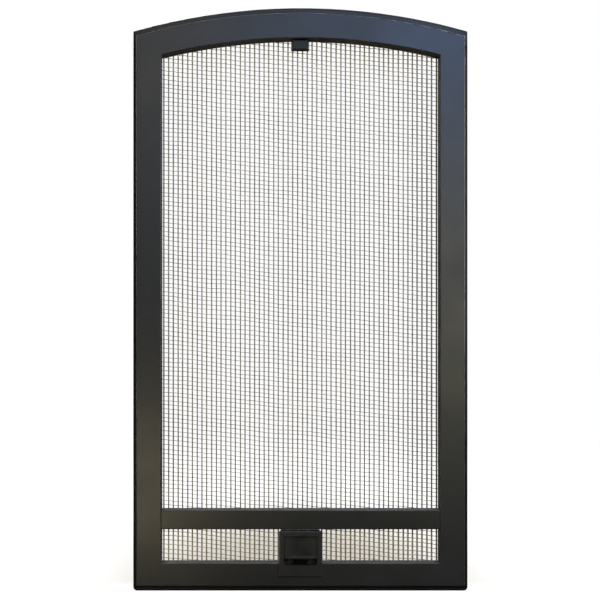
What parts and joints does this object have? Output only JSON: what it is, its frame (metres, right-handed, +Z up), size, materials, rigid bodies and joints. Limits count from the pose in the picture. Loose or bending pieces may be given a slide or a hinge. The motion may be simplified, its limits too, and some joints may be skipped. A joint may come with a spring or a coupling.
{
  "type": "fireplace screen",
  "caption": "Arched spark screen for a stove: black cast frame with woven wire mesh, a crossbar and a slide latch that drives a bolt through the bottom edge.",
  "frame": {"origin": "middle of the bottom edge, half way through the depth of the whole screen", "axes": "+Z up the screen, +X to the right as seen from the front, the front faces -Y"},
  "size_m": [0.22, 0.0146, 0.3835],
  "materials": {
    "frame_black": "satin",
    "latch_black": "satin",
    "strip_black": "matte",
    "mesh_wire": "matte",
    "screw_black": "satin",
    "bright_steel": "satin"
  },
  "bodies": {
    "screen": {"front_frame": "frame_black", "wire_mesh": "mesh_wire", "retainer_top": "strip_black", "retainer_left": "strip_black", "retainer_right": "strip_black", "retainer_bottom_left": "strip_black", "retainer_bottom_right": "strip_black", "retainer_screws": "screw_black", "crossbar": "frame_black", "crossbar_screws": "screw_black", "crossbar_strip": "strip_black", "crossbar_strip_screws": "screw_black", "locating_lug": "frame_black", "lug_screw": "screw_black", "latch_body": "latch_black", "latch_back_plate": "strip_black", "latch_bracket": "strip_black", "latch_screws": "screw_black", "bracket_screws": "screw_black", "detent_spring": "bright_steel", "detent_rivet": "bright_steel"},
    "slide_bolt": {"thumb_slide": "latch_black", "bolt_tongue": "bright_steel", "bolt_rivets": "bright_steel"}
  },
  "joints": [
    {"name": "bolt_slide", "type": "slide", "parent": "screen", "child": "slide_bolt", "axis": [0, 0, -1], "range_m": [0, 0.0034]}
  ]
}
